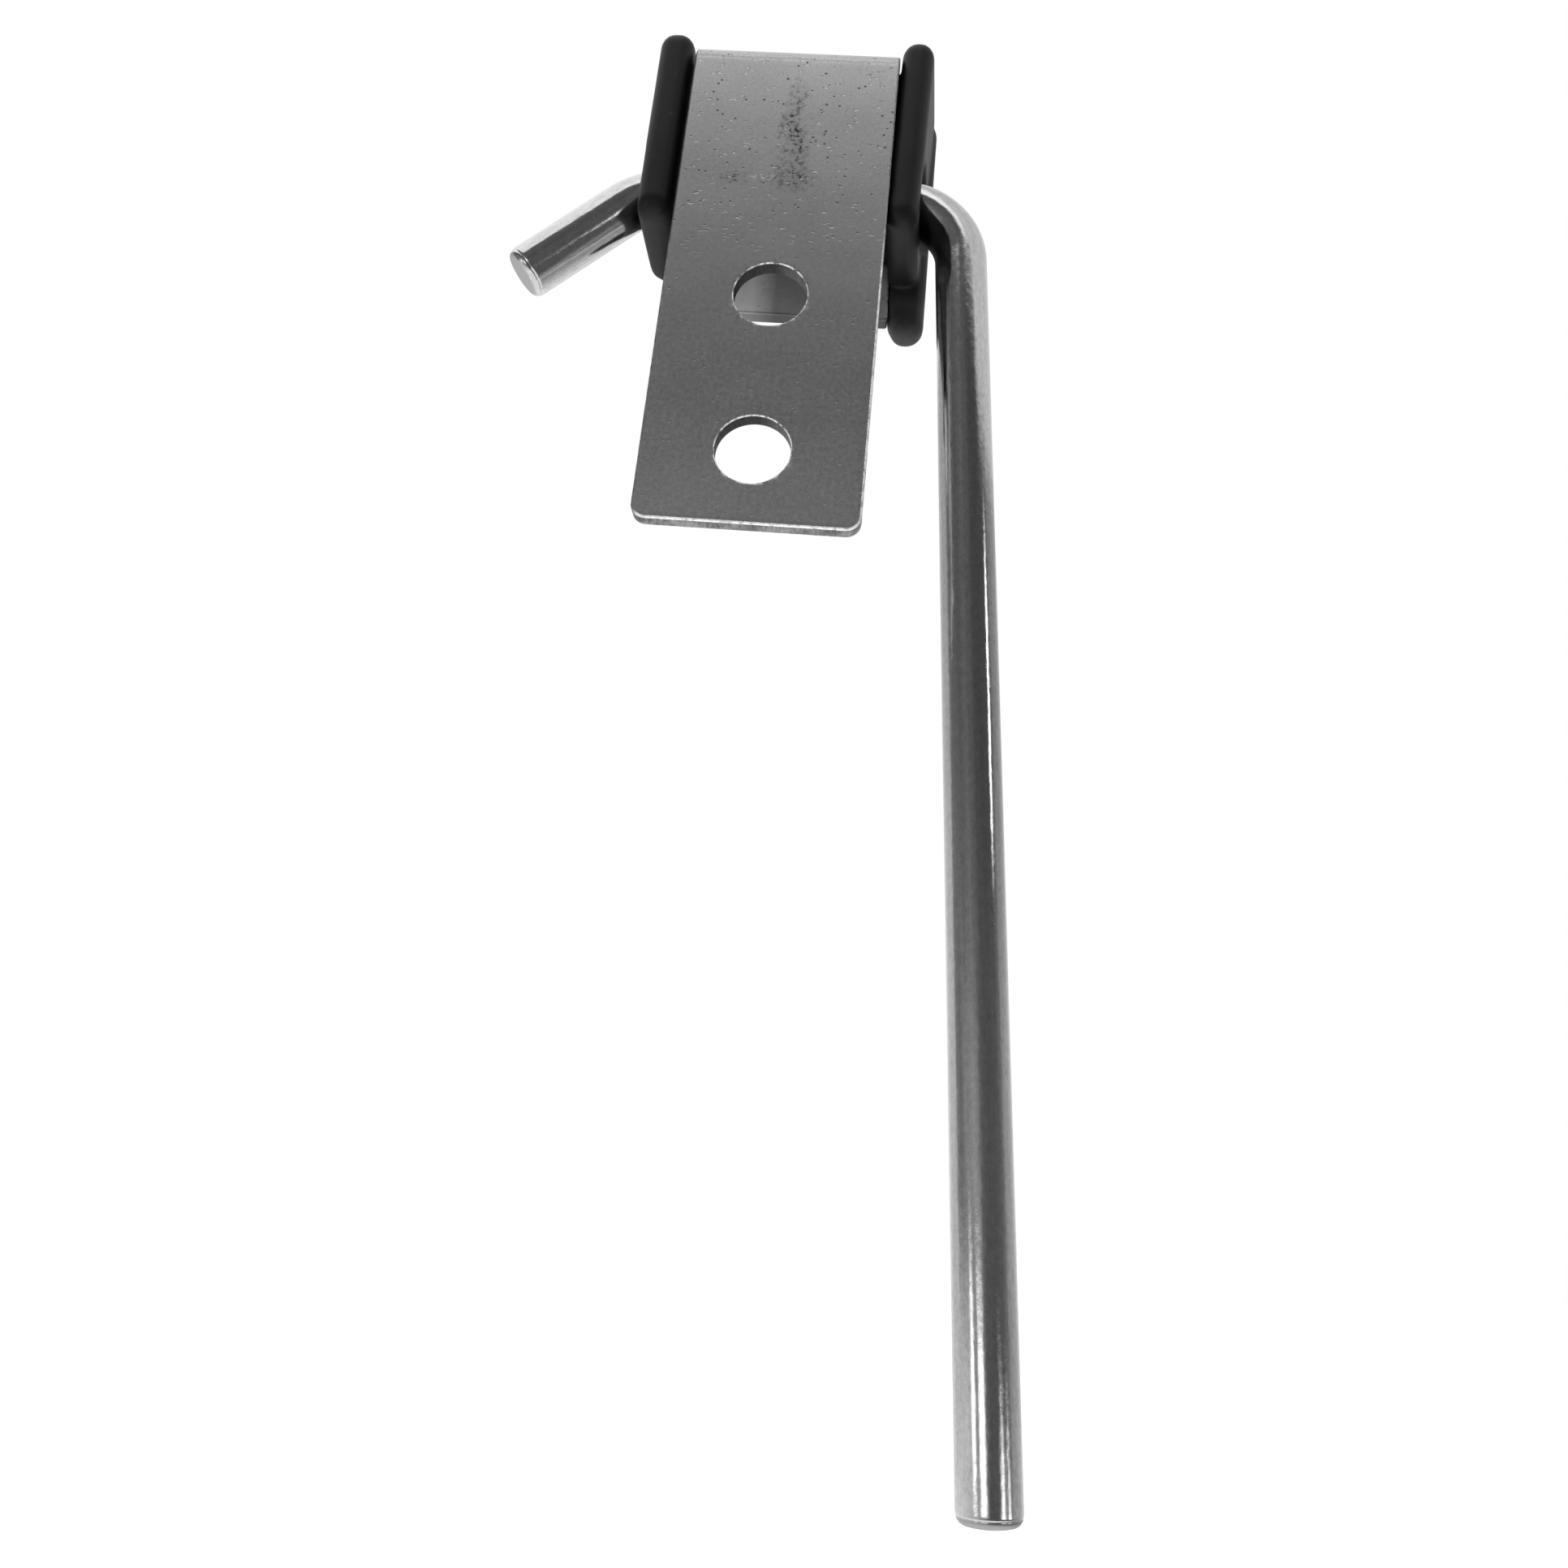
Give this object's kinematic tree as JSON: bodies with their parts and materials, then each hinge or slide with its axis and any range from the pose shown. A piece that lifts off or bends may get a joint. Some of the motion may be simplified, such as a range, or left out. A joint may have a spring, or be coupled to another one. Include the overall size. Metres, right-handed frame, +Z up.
{
  "type": "strap-hung rod bracket",
  "caption": "Folded steel strap with bolt holes holding a black flanged bush, in which a round steel rod with a long hanging arm and a short angled arm turns.",
  "frame": {"origin": "midway between the two bolt holes, on the outer face of the strap's long leaf", "axes": "+X along the rod's turning axis towards the long arm, -Y out of the long leaf's outer face, +Z up to the fold"},
  "size_m": [0.086, 0.0202, 0.2073],
  "materials": {
    "strap_steel": "dull rolled sheet steel with fine pits and bright sheared edges",
    "bush_rubber": "satin moulded black rubber",
    "rod_plating": "bright drawn and plated steel with faint marks along its length"
  },
  "bodies": {
    "bracket": {"folded_strap": "strap_steel", "flanged_bush": "bush_rubber"},
    "rod": {"bent_rod": "rod_plating"}
  },
  "joints": [
    {"name": "rod_turn", "type": "hinge", "parent": "bracket", "child": "rod", "pos_m": [0, 0.009, 0.0374], "axis": [1, 0, 0], "range_deg": [-1.5, 181.5]}
  ]
}
